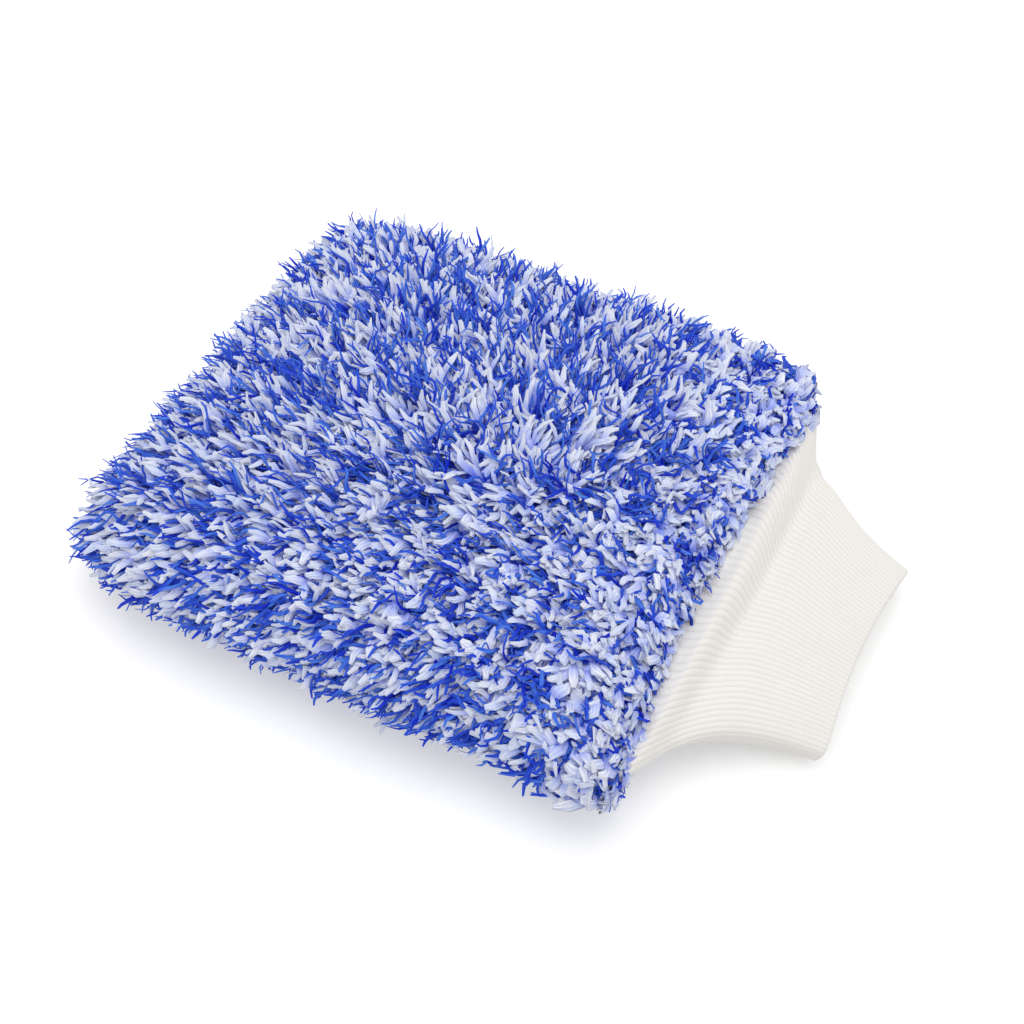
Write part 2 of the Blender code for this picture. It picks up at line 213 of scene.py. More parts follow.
def bag_of(node, side):
    """Outline and height of the layer that a node is, side 1 above the seam and -1 below it."""
    low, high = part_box(node)
    inset = low.x - PILE_TIP_X
    height = high.z - SEAM_Z if side > 0 else SEAM_Z - low.z
    return Bag(low.x, MOUTH_X + RUN_OUT - inset, high.y, height, side)


def bag_points(bag, p, q):
    """Points of half a bag, for p and q from -1 to 1 over a square."""
    norm = (np.abs(p) ** PLAN_POWER + np.abs(q) ** PLAN_POWER) ** (1.0 / PLAN_POWER)
    norm = np.maximum(norm, 1e-9)
    rho = 1.0 - (1.0 - np.maximum(np.abs(p), np.abs(q))) ** 2
    crown = np.sqrt(np.clip(1.0 - rho ** CROWN_POWER, 0.0, 1.0))
    x = (bag.x_min + bag.x_max) / 2 + (bag.x_max - bag.x_min) / 2 * rho * p / norm
    y = bag.half_width * rho * q / norm
    near, far = [w.depth * np.exp(-((x - w.at) / w.run) ** 2) for w in (NEAR_WAIST, FAR_WAIST)]
    near += NEAR_TIP_PULL * np.clip((NEAR_TIP_FROM - x) / NEAR_TIP_RUN, 0.0, 1.0) ** 2
    y -= rho * q / norm * np.where(q < 0, near, far)
    x -= rho * NEAR_TIP_PUSH * np.clip(-p, 0.0, 1.0) * np.clip(-2.0 * q - 1.0, 0.0, 1.0)
    return np.stack([x, y, SEAM_Z + bag.side * bag.height * crown], axis=-1)


def bag_grid(bag, steps=GRID_STEPS):
    p, q = np.meshgrid(np.linspace(-1, 1, steps + 1), np.linspace(-1, 1, steps + 1), indexing="ij")
    return bag_points(bag, p, q)


GROUND = {1: bag_of("upper_ground_knit", 1), -1: bag_of("lower_ground_knit", -1)}
for side, bag in GROUND.items():
    print(f"ground knit, side {side}: {2000 * bag.half_width:.1f} mm wide, {1000 * bag.height:.1f} mm high")

# %% [markdown]
# Yarn ends are short tubes. All ends of one piece are a single mesh, filled from arrays, because an object
# for each end would be far too slow. The map named OFBake puts each end in one of 128 columns, which it
# shares with other ends: across the map is the column, and up the map is how far along the end a point
# lies. The colour of a yarn depends on that map alone. Fluffy yarn scatters light from fibre to fibre, so
# it has no hard shadow side: its shading normals lean almost half way to the normal of the cloth below.

# %% Tubes from centre lines
SEED = 20
COLUMNS = 128
COLUMN_MARGIN = 0.2
MAP_FOOT = 0.02
MAP_HEAD = 0.92
CAP_AT = 0.96
CAP_SIZE = 0.02
FLUFF = 0.45
rng = np.random.default_rng(SEED)


def unit(v):
    return v / np.maximum(np.linalg.norm(v, axis=-1, keepdims=True), 1e-12)


def mesh_from_arrays(name, points, faces, uv, normals=None):
    """Smooth mesh from points, a list of face index arrays and the map place of each face corner."""
    mesh = bpy.data.meshes.new(name)
    corners = np.concatenate([f.ravel() for f in faces])
    sizes = np.concatenate([np.full(len(f), f.shape[1]) for f in faces])
    mesh.vertices.add(len(points))
    mesh.vertices.foreach_set("co", points.astype(np.float32).ravel())
    mesh.loops.add(len(corners))
    mesh.loops.foreach_set("vertex_index", corners.astype(np.int32))
    mesh.polygons.add(len(sizes))
    starts = np.concatenate([[0], np.cumsum(sizes)[:-1]])
    mesh.polygons.foreach_set("loop_start", starts.astype(np.int32))
    mesh.update(calc_edges=True)
    mesh.polygons.foreach_set("use_smooth", np.ones(len(sizes), bool))
    layer = mesh.uv_layers.new(name="OFBake")
    layer.uv.foreach_set("vector", uv.astype(np.float32).ravel())
    mesh.update()
    if normals is not None:
        mesh.normals_split_custom_set_from_vertices(normals)
    return mesh


def add_piece(name, mesh, material):
    mesh.materials.append(material)
    piece = bpy.data.objects.new(name, mesh)
    scene.collection.objects.link(piece)
    return piece


def tubes(name, lines, across, radius, yarn, columns, cloth=None):
    """One mesh of tubes. lines is (tubes, points, 3) and across points along each tube's wider axis.
    Where the normal of the cloth is given for each tube, the shading leans towards it."""
    sides = yarn.sides
    count, length = lines.shape[:2]
    along = unit(np.gradient(lines, axis=1))
    across = across.reshape(count, -1, 3)
    wide = unit(across - (across * along).sum(-1, keepdims=True) * along)
    thin = np.cross(along, wide)
    angle = 2 * np.pi * np.arange(sides) / sides
    profile = np.interp(np.linspace(0, 1, length), np.linspace(0, 1, len(yarn.profile)), yarn.profile)
    uneven = 1.0 + yarn.crumple * rng.normal(size=(count, length, sides, 1))
    reach = radius[:, None, None, None] * profile[None, :, None, None] * uneven
    to_wide = np.cos(angle)[:, None] * wide[:, :, None]
    to_thin = np.sin(angle)[:, None] * thin[:, :, None]
    points = lines[:, :, None] + reach * (to_wide + yarn.flatness * to_thin)

    base = (np.arange(count) * length * sides)[:, None, None]
    step = (np.arange(length - 1) * sides)[None, :, None]
    k = np.arange(sides)
    after = (k + 1) % sides
    quads = np.stack([base + step + k, base + step + after, base + step + sides + after,
                      base + step + sides + k], axis=-1).reshape(-1, 4)
    caps = ((np.arange(count) * length + length - 1) * sides)[:, None] + k

    fill = 1.0 - 2 * COLUMN_MARGIN
    left = (columns[:, None, None] + COLUMN_MARGIN + fill * k / sides) / COLUMNS
    right = (columns[:, None, None] + COLUMN_MARGIN + fill * (k + 1) / sides) / COLUMNS
    low = MAP_FOOT + (MAP_HEAD - MAP_FOOT) * np.arange(length - 1)[None, :, None] / (length - 1)
    high = MAP_FOOT + (MAP_HEAD - MAP_FOOT) * np.arange(1, length)[None, :, None] / (length - 1)
    shape = (count, length - 1, sides)
    u = np.stack([np.broadcast_to(x, shape) for x in (left, right, right, left)], axis=-1)
    v = np.stack([np.broadcast_to(x, shape) for x in (low, low, high, high)], axis=-1)
    cap_u = (columns[:, None] + 0.5 + (0.5 - COLUMN_MARGIN) * np.cos(angle)) / COLUMNS
    cap_v = np.broadcast_to(CAP_AT + CAP_SIZE * np.sin(angle), cap_u.shape)
    uv = np.concatenate([np.stack([u, v], -1).reshape(-1, 2), np.stack([cap_u, cap_v], -1).reshape(-1, 2)])
    if cloth is None:
        return mesh_from_arrays(name, points.reshape(-1, 3), [quads, caps], uv)
    own = unit(to_wide + to_thin / yarn.flatness)
    soft = unit((1.0 - FLUFF) * own + FLUFF * cloth[:, None, None])
    return mesh_from_arrays(name, points.reshape(-1, 3), [quads, caps], uv, soft.reshape(-1, 3))


# %% [markdown]
# The finishes share two effects, each a node group. The first reads the map of the yarn ends and gives how
# far along an end a point is, two tones that differ from column to column, and the fine crimp of the yarn.
# The second gives knitted loops as a height and a groove; the knit finishes paint shade into the groove.

# %% Shared effects
SECOND_DICE = 517.0
GROOVE_POWER = 4.0
LOOP_SHARE = 0.3


def new_group(name, inputs, outputs):
    """Empty shader node group with its named sockets and their in and out nodes."""
    group = bpy.data.node_groups.new(name, "ShaderNodeTree")
    for label, value in inputs.items():
        socket = group.interface.new_socket(label, in_out="INPUT", socket_type="NodeSocketFloat")
        socket.default_value = value
    for label in outputs:
        group.interface.new_socket(label, in_out="OUTPUT", socket_type="NodeSocketFloat")
    return group, group.nodes.new("NodeGroupInput"), group.nodes.new("NodeGroupOutput")


def math_node(tree, operation, first, second=None, third=None):
    """Math node on sockets or plain numbers, which returns its result socket."""
    node = tree.nodes.new("ShaderNodeMath")
    node.operation = operation
    for place, value in enumerate((first, second, third)):
        if isinstance(value, bpy.types.NodeSocket):
            tree.links.new(value, node.inputs[place])
        elif value is not None:
            node.inputs[place].default_value = value
    return node.outputs[0]


def map_axes(tree):
    """The two axes of the OFBake map as sockets."""
    place = tree.nodes.new("ShaderNodeUVMap")
    place.uv_map = "OFBake"
    axes = tree.nodes.new("ShaderNodeSeparateXYZ")
    tree.links.new(place.outputs["UV"], axes.inputs[0])
    return axes.outputs[0], axes.outputs[1]


yarn_group, yarn_in, yarn_out = new_group(
    "yarn ends", {"Crimps": 14.0, "Ply": 2.0}, ("Along", "Tone", "Second Tone", "Height"))
across_map, up_map = map_axes(yarn_group)
column = math_node(yarn_group, "MULTIPLY", across_map, COLUMNS)
which_end = math_node(yarn_group, "FLOOR", column)
for label, offset in (("Tone", 0.0), ("Second Tone", SECOND_DICE)):
    dice = yarn_group.nodes.new("ShaderNodeTexWhiteNoise")
    dice.noise_dimensions = "1D"
    yarn_group.links.new(math_node(yarn_group, "ADD", which_end, offset), dice.inputs["W"])
    yarn_group.links.new(dice.outputs["Value"], yarn_out.inputs[label])
turns = math_node(yarn_group, "MULTIPLY", up_map, yarn_in.outputs["Crimps"])
lean = math_node(yarn_group, "MULTIPLY", math_node(yarn_group, "FRACT", column), yarn_in.outputs["Ply"])
twist = math_node(yarn_group, "MULTIPLY", math_node(yarn_group, "ADD", turns, lean), math.tau)
yarn_group.links.new(math_node(yarn_group, "SINE", twist), yarn_out.inputs["Height"])
yarn_group.links.new(up_map, yarn_out.inputs["Along"])

knit_group, knit_in, knit_out = new_group(
    "knit loops", {"Wales": 112.0, "Courses": 160.0}, ("Height", "Groove"))
around, outward = map_axes(knit_group)
wale = math_node(knit_group, "FRACT", math_node(knit_group, "MULTIPLY", around, knit_in.outputs["Wales"]))
centred = math_node(knit_group, "ABSOLUTE", math_node(knit_group, "SUBTRACT", wale, 0.5))
slanted = math_node(knit_group, "MULTIPLY", outward, knit_in.outputs["Courses"])
loop = math_node(knit_group, "SINE", math_node(
    knit_group, "MULTIPLY", math_node(knit_group, "ADD", slanted, centred), math.tau))
groove = math_node(knit_group, "POWER", math_node(knit_group, "MULTIPLY", centred, 2.0), GROOVE_POWER)
knit_group.links.new(groove, knit_out.inputs["Groove"])
knit_group.links.new(
    math_node(knit_group, "SUBTRACT", math_node(knit_group, "MULTIPLY", loop, LOOP_SHARE), groove),
    knit_out.inputs["Height"])
print(f"shared effects: {[g.name for g in bpy.data.node_groups]}")


# %% [markdown]
# The pile has two yarns. The blue one is smooth and bright, and painted darker towards its foot: painted
# shade deep in the pile. The white one is fluffy and soft, and painted blue towards its foot: the painted
# blue shade between the ends. Some ends of both are painted lighter towards the tip, as painted light, and
# painted shade lies in the grooves of their crimp. Both take their changes of colour from the yarn group.

# %% Yarn finishes
SHEEN_TINT = (0.5, 0.62, 1.0, 1.0)
FOOT_SHADE_RATE = 1.4
LIT_TIP_RATE = 2.5
LIT_TIP_SHIFT = -1.4
CRIMP_BUMP = 0.5
CRIMP_DEPTH = 0.0003


def mix_colour(tree, factor, first, second):
    """Colour between two colours or sockets."""
    node = tree.nodes.new("ShaderNodeMix")
    node.data_type = "RGBA"
    tree.links.new(factor, node.inputs["Factor"])
    for socket, value in ((node.inputs[6], first), (node.inputs[7], second)):
        if isinstance(value, bpy.types.NodeSocket):
            tree.links.new(value, socket)
        else:
            socket.default_value = (*value, 1.0)
    return node.outputs[2]


def new_finish(name, roughness, sheen=0.0, sheen_roughness=0.5):
    made = bpy.data.materials.new(name)
    made.use_nodes = True
    shader = made.node_tree.nodes["Principled BSDF"]
    shader.inputs["Roughness"].default_value = roughness
    shader.inputs["Sheen Weight"].default_value = sheen
    shader.inputs["Sheen Roughness"].default_value = sheen_roughness
    return made, made.node_tree, shader


def place_group(tree, group, **values):
    node = tree.nodes.new("ShaderNodeGroup")
    node.node_tree = group
    for label, value in values.items():
        node.inputs[label].default_value = value
    return node


def add_bump(tree, shader, height, strength, distance):
    bump = tree.nodes.new("ShaderNodeBump")
    bump.inputs["Strength"].default_value = strength
    bump.inputs["Distance"].default_value = distance
    tree.links.new(height, bump.inputs["Height"])
    tree.links.new(bump.outputs[0], shader.inputs["Normal"])


def yarn_finish(name, shaded_foot, body, tip, other, furrow_shade, roughness, sheen, shine, crimps, ply):
    """Yarn painted with shade at its foot and with light towards its tip, with some ends nearer another
    tone.
    """
    made, tree, shader = new_finish(name, roughness, sheen)
    shader.inputs["Specular IOR Level"].default_value = shine
    shader.inputs["Sheen Tint"].default_value = SHEEN_TINT
    ends = place_group(tree, yarn_group, Crimps=crimps, Ply=ply)
    # Painted shade at the foot of each end, fading out up the end, and painted light towards the tip.
    out_of_foot_shade = math_node(tree, "MULTIPLY", ends.outputs["Along"], FOOT_SHADE_RATE)
    into_lit_tip = math_node(tree, "MULTIPLY_ADD", ends.outputs["Along"], LIT_TIP_RATE, LIT_TIP_SHIFT)
    for socket in (out_of_foot_shade, into_lit_tip):
        socket.node.use_clamp = True
    own = mix_colour(tree, ends.outputs["Tone"], body, other)
    upper = mix_colour(tree, ends.outputs["Second Tone"], mix_colour(tree, into_lit_tip, own, tip), own)
    shade = mix_colour(tree, out_of_foot_shade, shaded_foot, upper)
    # Painted shade in the grooves of the crimp, where the colour turns towards the shaded foot colour.
    crimp_shade_share = math_node(tree, "MULTIPLY_ADD", ends.outputs["Height"], -furrow_shade / 2, furrow_shade / 2)
    tree.links.new(mix_colour(tree, crimp_shade_share, shade, shaded_foot), shader.inputs["Base Color"])
    add_bump(tree, shader, ends.outputs["Height"], CRIMP_BUMP, CRIMP_DEPTH)
    return made


# The foot colours are painted shade deep in the pile, and the tip colours painted light.
BLUE_YARN = yarn_finish(
    "blue pile yarn", shaded_foot=(0.003, 0.010, 0.42), body=(0.004, 0.022, 0.65), tip=(0.022, 0.105, 0.92),
    other=(0.120, 0.320, 0.98), furrow_shade=0.38, roughness=0.5, sheen=0.0, shine=0.12, crimps=2.0, ply=10 / 3)
WHITE_YARN = yarn_finish(
    "white pile yarn", shaded_foot=(0.06, 0.14, 0.95), body=(0.88, 0.915, 0.995), tip=(0.955, 0.97, 0.995),
    other=(0.73, 0.81, 0.995), furrow_shade=0.20, roughness=0.9, sheen=0.4, shine=0.2, crimps=1.5, ply=10.0)
print("yarn finishes:", BLUE_YARN.name, WHITE_YARN.name)

# %% [markdown]
# Deep in the pile the fibres are so thick that they read as a soft felt. A surface part of the way up
# stands for it: it keeps the gaps between the yarn ends blue, and it saves the lower part of every end. Its
# blue is the blue of the pile's fibres, but its pale is lavender rather than white: painted blue shade deep
# between the ends. It is a grid on the form of the bag, lifted in small lumps and, above, in the same clumps
# as the solid. At the mouth it rolls in over a lip, which reaches further over the cuff towards both sides
# than in the middle, and draws back at the far corner.

# %% Felted foot of the pile
FELT_RISE = {1: 0.0090, -1: 0.0064}
FELT_LUMP = 0.0010
LUMP_SIZES = (0.013, 0.008, 0.005)
LUMP_WAVES = 3
# The blue is the pile's own fibre; the lavender pale is painted shade deep in the pile.
FELT_BLUE = (0.020, 0.065, 0.82)
FELT_PALE_SHADED = (0.40, 0.50, 0.98)
SPECKLE_SCALE = 330.0
SPECKLE_CONTRAST = 5.0
SPECKLE_SHIFT = -2.3
SPECKLE_DETAIL = 3.0
FELT_BUMP = 0.8
FELT_BUMP_DEPTH = 0.0012
CLUMP_RISE = 0.002
CLUMP_PITCH = 0.016
CLUMP_PITCH_STEP = 0.13
CLUMP_WAVES = 3
CLUMP_TURN = math.radians(20)
FELT_STEPS = 180
LIP_BACK = 0.0120
LIP_CENTRE_Y = -0.030
LIP_FAR_BOW = 0.65
LIP_FAR_CORNER = 0.080
LIP_FAR_SLOPE = 0.5
LIP_NEAR_BOW = 1.0
LIP_RADIUS = 0.008
LIP_SINK = {1: 0.011, -1: 0.0088}


def grown(bag, rise):
    """The same form, larger all round."""
    return Bag(bag.x_min - rise, bag.x_max + rise, bag.half_width + rise, bag.height + rise, bag.side)


def grid_normals(points, side):
    """Normal at each point of a grid, pointing away from the seam."""
    return side * unit(np.cross(np.gradient(points, axis=0), np.gradient(points, axis=1)))


def past_lip(points):
    """How far each point lies beyond the line where the pile starts to roll in at the mouth."""
    across = points[..., 1] - LIP_CENTRE_Y
    bow = np.where(across > 0, LIP_FAR_BOW, LIP_NEAR_BOW) * across ** 2
    corner = LIP_FAR_SLOPE * np.maximum(points[..., 1] - LIP_FAR_CORNER, 0.0)
    return points[..., 0] - (MOUTH_X - LIP_BACK + bow - corner)


def with_lip(points, side):
    """The grid with its mouth rolled in: over a round lip, then down a wall towards the cuff."""
    over = np.maximum(past_lip(points), 0.0)[..., None]
    normal = grid_normals(points, side)
    normal[..., 0] = 0.0
    normal = unit(normal)
    turn = np.minimum(over / LIP_RADIUS, math.pi / 2)
    sink = LIP_RADIUS * (1 - np.cos(turn)) + np.maximum(over - LIP_RADIUS * math.pi / 2, 0.0)
    rolled = points - sink * normal
    rolled[..., 0] += (LIP_RADIUS * np.sin(turn) - over)[..., 0]
    return rolled


def grid_sheet(name, points, keep):
    """Mesh of the kept faces of a grid of points, with the map laid over it."""
    rows, columns = points.shape[:2]
    index = np.arange(rows * columns).reshape(rows, columns)
    quads = np.stack([index[:-1, :-1], index[1:, :-1], index[1:, 1:], index[:-1, 1:]], -1)[keep]
    used, quads = np.unique(quads, return_inverse=True)
    row, column = np.divmod(used[quads.ravel()], columns)
    uv = np.stack([row / (rows - 1), column / (columns - 1)], -1)
    return mesh_from_arrays(name, points.reshape(-1, 3)[used], [quads.reshape(-1, 4)], uv)


def clumps(points):
    """Rise of the upper pile where its long yarn falls into clumps, as on the solid."""
    total = np.zeros(points.shape[:-1])
    for wave in range(CLUMP_WAVES):
        turn = CLUMP_TURN + math.pi * wave / CLUMP_WAVES
        pitch = CLUMP_PITCH * (1.0 + CLUMP_PITCH_STEP * wave)
        way = points[..., 0] * math.cos(turn) + points[..., 1] * math.sin(turn)
        total += np.cos(math.tau * way / pitch)
    return CLUMP_RISE * total / 2


def lumps(points):
    """Uneven rise of a fluffy surface, from a few crossing waves."""
    waves = np.zeros(points.shape[:-1])
    for size in LUMP_SIZES:
        for _ in range(LUMP_WAVES):
            along = unit(rng.normal(size=3)) * 2 * np.pi / size
            waves += np.sin(points @ along + rng.uniform(0, 2 * np.pi)) / LUMP_WAVES
    return waves / len(LUMP_SIZES)


def felt_finish():
    made, tree, shader = new_finish("felted pile", 0.95, 0.3)
    place = tree.nodes.new("ShaderNodeTexCoord")
    speckle = tree.nodes.new("ShaderNodeTexNoise")
    speckle.inputs["Scale"].default_value = SPECKLE_SCALE
    speckle.inputs["Detail"].default_value = SPECKLE_DETAIL
    tree.links.new(place.outputs["Object"], speckle.inputs["Vector"])
    split = math_node(tree, "MULTIPLY_ADD", speckle.outputs["Fac"], SPECKLE_CONTRAST, SPECKLE_SHIFT)
    split.node.use_clamp = True
    # Blue and lavender speckle: the lavender is painted shade between the ends.
    colour = mix_colour(tree, split, FELT_BLUE, FELT_PALE_SHADED)
    tree.links.new(colour, shader.inputs["Base Color"])
    add_bump(tree, shader, speckle.outputs["Fac"], FELT_BUMP, FELT_BUMP_DEPTH)
    return made


FELT = felt_finish()
felt_bags = {side: grown(bag, FELT_RISE[side]) for side, bag in GROUND.items()}
felt_grids = {}
felt_pieces = {}
for side, half_name in ((1, "upper"), (-1, "lower")):
    plain = bag_grid(felt_bags[side], FELT_STEPS)
    kept = past_lip(plain)[1:, 1:] < LIP_SINK[side] + LIP_RADIUS * (math.pi / 2 - 1)
    normal = grid_normals(plain, side)
    clumped = plain + (clumps(plain) * np.clip(normal[..., 2], 0.0, 1.0))[..., None] * normal
    felt_grids[side] = (plain, with_lip(clumped, side), kept)
    surface = clumped + (FELT_LUMP * lumps(plain))[..., None] * normal
    mesh = grid_sheet(f"{half_name}_felt", with_lip(surface, side), kept)
    felt_pieces[side] = add_piece(f"{half_name}_felt", mesh, FELT)
    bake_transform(felt_pieces[side])
    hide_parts(f"{half_name}_pile")
    print(f"{half_name} felt: {len(mesh.polygons)} faces")

# %% [markdown]
# On the far half the pile fans out from a parting in the middle, and on the near half it lies towards the
# finger end; it hangs down over the sides, and is shorter and more tangled towards the cuff. Hair curves
# would be the usual way, but only real meshes travel with a model, so each end is grown here: it leaves the
# felt at a slant and bends over into the lay, with a wave of its own. The ends of a tuft stand or lie
# together. The white yarn makes soft flat tufts, and the blue yarn small bundles of thin ends among them.

# %% Growth of the pile
PARTING = np.array([0.004, -0.022])
PARTING_SIZE = 0.030
PARTING_BLEND = 0.030
ACROSS_VIEW = np.array([0.891, 0.454])
UP_VIEW = np.array([-0.454, 0.891])
DROOP = 0.5
NEAR_FAN = 0.4
WANDER = 0.25
TANGLED_WANDER = 1.4
TANGLE_FROM_X = 0.015
TANGLE_RUN = 0.055
CORNER_GAIN = {1: 0.50, -1: -0.55}
NEAR_MOUTH_GAIN = 0.30
NEAR_EDGE_FROM = 0.75
TIP_CORNER_RUN = 0.05
MOUTH_CORNER_FROM = 0.05
MOUTH_CORNER_RUN = 0.04
LOWER_SHARE = 0.85
COMBED_GAIN = 0.25
COMBED_TAPER = 0.20
LENGTH_RANGE = (0.72, 1.15)
RADIUS_RANGE = (0.65, 1.35)
WAVE_RANGE = (0.6, 1.3)
WAVE_LIFT = 0.4
SWAY_SPREAD = 0.4
CURLY_LOSS = 0.2
CURLY_GAIN = 0.2
CURLY_SWAY = 0.8
ROOT_DEPTH = 0.0012
FLOOR_SHARE = 1.4
FLOOR_GAP = 0.0003
CANDIDATES = 8
TUFT_STAND = 14
END_STAND = 8

Yarn = namedtuple("Yarn", [
    "gap", "ends", "points", "length", "diameter", "flatness", "profile", "sides", "crumple", "clump",
    "spread", "sway", "start", "finish", "mouth"])
WHITE = Yarn(gap={1: 0.0029, -1: 0.0035}, ends=2, points=5, length=0.0106, diameter=0.0026, flatness=0.5,
             profile=(0.75, 1.0, 1.1, 0.95, 0.5), sides=5, crumple=0.18, clump=0.0011, spread=0.24,
             sway=0.0011, start=50, finish=86, mouth=0.80)
BLUE = Yarn(gap={1: 0.0041, -1: 0.0056}, ends=4, points=7, length=0.0125, diameter=0.0011, flatness=0.6,
            profile=(0.9, 1.0, 1.05, 0.95, 0.45), sides=4, crumple=0.06, clump=0.0010, spread=0.18,
            sway=0.0013, start=50, finish=84, mouth=0.55)


def scatter(side, gap):
    """Evenly spread points on the felt, with the normal at each and how far it is past the lip."""
    plain, grid, kept = felt_grids[side]
    corners = np.stack([grid[:-1, :-1], grid[1:, :-1], grid[1:, 1:], grid[:-1, 1:]], 2)[kept]
    over = past_lip(plain)[1:, 1:][kept]
    triangles = np.concatenate([corners[:, [0, 1, 2]], corners[:, [0, 2, 3]]])
    over = np.concatenate([over, over])
    normal = np.cross(triangles[:, 1] - triangles[:, 0], triangles[:, 2] - triangles[:, 0])
    area = np.linalg.norm(normal, axis=1) / 2
    wanted = int(CANDIDATES * area.sum() / gap ** 2)
    chosen = rng.choice(len(triangles), wanted, p=area / area.sum())
    r = rng.random((wanted, 2))
    r = np.where(r.sum(1, keepdims=True) > 1, 1 - r, r)
    a, b, c = np.moveaxis(triangles[chosen], 1, 0)
    points = a + r[:, :1] * (b - a) + r[:, 1:] * (c - a)
    first = np.unique(np.floor(points / gap).astype(int), axis=0, return_index=True)[1]
    return points[first], side * unit(normal[chosen][first]), over[chosen][first]


def tangle(x):
    """0 where the pile is combed and 1 by the cuff, where it is short and curly."""
    return np.clip((x - TANGLE_FROM_X) / TANGLE_RUN, 0.0, 1.0)


def corner_gain(points, bag):
    """Share by which the pile is longer, or shorter if less than 0, in the near corners of the mitt."""
    edge = -points[:, 1] / bag.half_width
    across = np.clip((edge - NEAR_EDGE_FROM) / (1 - NEAR_EDGE_FROM), 0.0, 1.0)
    tip = np.clip((bag.x_min + TIP_CORNER_RUN - points[:, 0]) / TIP_CORNER_RUN, 0.0, 1.0)
    mouth = np.clip((points[:, 0] - MOUTH_X + MOUTH_CORNER_FROM) / MOUTH_CORNER_RUN, 0.0, 1.0)
    return across * (CORNER_GAIN[bag.side] * tip + NEAR_MOUTH_GAIN * mouth)


def beyond_parting(points):
    """0 on the near half of the mitt and 1 on the far half, which is combed."""
    return np.clip((points[:, :2] - PARTING) @ UP_VIEW / PARTING_BLEND + 0.5, 0.0, 1.0)


def lay_at(points, normals):
    """Direction in which the pile leans at each tuft, along the cloth."""
    rel = points[:, :2] - PARTING
    fan = rel / (np.linalg.norm(rel, axis=1, keepdims=True) + PARTING_SIZE)
    far = beyond_parting(points)[:, None]
    away = np.full_like(points, -DROOP)
    away[:, :2] = far * fan + (1 - far) * (NEAR_FAN * fan - ACROSS_VIEW)
    wander = WANDER * (1 + TANGLED_WANDER * tangle(points[:, 0]))
    away += wander[:, None] * rng.normal(size=points.shape)
    return unit(away - (away * normals).sum(1, keepdims=True) * normals)


def grow(root, normal, lay, length, start, finish, sway, points):
    """Centre line of each yarn end, which bends over from its root into the lay."""
    t = np.linspace(0.0, 1.0, points)
    middle = (t[1:] + t[:-1]) / 2
    angle = start[:, None] + (finish - start)[:, None] * middle
    step = length[:, None, None] / (points - 1)
    steps = step * (np.cos(angle)[..., None] * normal[:, None] + np.sin(angle)[..., None] * lay[:, None])
    line = np.concatenate([np.zeros((len(root), 1, 3)), np.cumsum(steps, axis=1)], axis=1) + root[:, None]
    beside = np.cross(normal, lay)
    for way, share in ((beside, 1.0), (normal, WAVE_LIFT)):
        phase = rng.uniform(0, 2 * np.pi, len(root))
        swing = np.sin(2 * np.pi * t * rng.uniform(*WAVE_RANGE, len(root))[:, None] + phase[:, None])
        swing = (swing - np.sin(phase)[:, None]) * share * sway[:, None]
        line = line + swing[..., None] * way[:, None]
    return line, beside


def yarn_ends(yarn, bag, roots, normals):
    """Centre lines, wide axes and radii of all ends of one yarn in these tufts."""
    count = len(roots) * yarn.ends
    normal = np.repeat(normals, yarn.ends, axis=0)
    lay = np.repeat(lay_at(roots, normals), yarn.ends, axis=0) + yarn.spread * rng.normal(size=(count, 3))
    lay = unit(lay - (lay * normal).sum(1, keepdims=True) * normal)
    offset = yarn.clump * rng.normal(size=(count, 3))
    root = np.repeat(roots, yarn.ends, axis=0) + offset - (offset * normal).sum(1, keepdims=True) * normal
    curly = tangle(root[:, 0])
    combed = beyond_parting(root) * (1 - curly)
    length = yarn.length * rng.uniform(*LENGTH_RANGE, count) * (1 - CURLY_LOSS * curly)
    length *= 1 + corner_gain(root, bag) + COMBED_GAIN * combed
    length *= 1.0 if bag.side > 0 else LOWER_SHARE
    length *= np.where(past_lip(root) > -LIP_RADIUS, yarn.mouth, 1.0)
    stand = np.repeat(rng.normal(0.0, TUFT_STAND, len(roots)), yarn.ends)
    start = np.radians(rng.normal(yarn.start, END_STAND, count) + stand)
    finish = np.radians(rng.normal(yarn.finish, END_STAND, count) + stand)
    sway = yarn.sway * rng.normal(1.0, SWAY_SPREAD, count) * (1 + CURLY_SWAY * curly)
    line, beside = grow(root - ROOT_DEPTH * normal, normal, lay, length, start, finish, sway, yarn.points)
    radius = yarn.diameter / 2 * rng.uniform(*RADIUS_RANGE, count)
    radius *= 1 + CURLY_GAIN * curly - COMBED_TAPER * combed
    line[..., 2] = np.maximum(line[..., 2], (FLOOR_SHARE * radius + FLOOR_GAP)[:, None])
    return line, beside, radius


# %% [markdown]
# The two halves of the bag are planted one after the other. Tufts by the mouth are kept apart from the rest.
# A mesh stays under two hundred thousand faces, so a yarn with more ends is shared out over several pieces,
# from the finger end to the wrist.

# %% Plant the pile
MOST_FACES = 190000
FRINGE = 0.008
pile_pieces = {1: [], -1: []}
fringe_pieces = {1: [], -1: []}


def plant(name, yarn, finish, bag, roots, normals):
    """Pieces that hold every end of these tufts, in order along the mitt."""
    line, beside, radius = yarn_ends(yarn, bag, roots, normals)
    cloth = np.repeat(normals, yarn.ends, axis=0)
    order = np.argsort(line[:, 0, 0])
    faces = 2 * yarn.sides * (yarn.points - 1) + yarn.sides - 2
    shares = math.ceil(len(order) * faces / MOST_FACES)
    made = []
    for number, part in enumerate(np.array_split(order, shares)):
        label = name if shares == 1 else f"{name}_{number + 1}"
        columns = rng.integers(0, COLUMNS, len(part))
        mesh = tubes(label, line[part], beside[part], radius[part], yarn, columns, cloth[part])
        made.append(add_piece(label, mesh, finish))
        print(f"{label}: {len(part)} ends, {len(part) * faces} triangles")
    return made


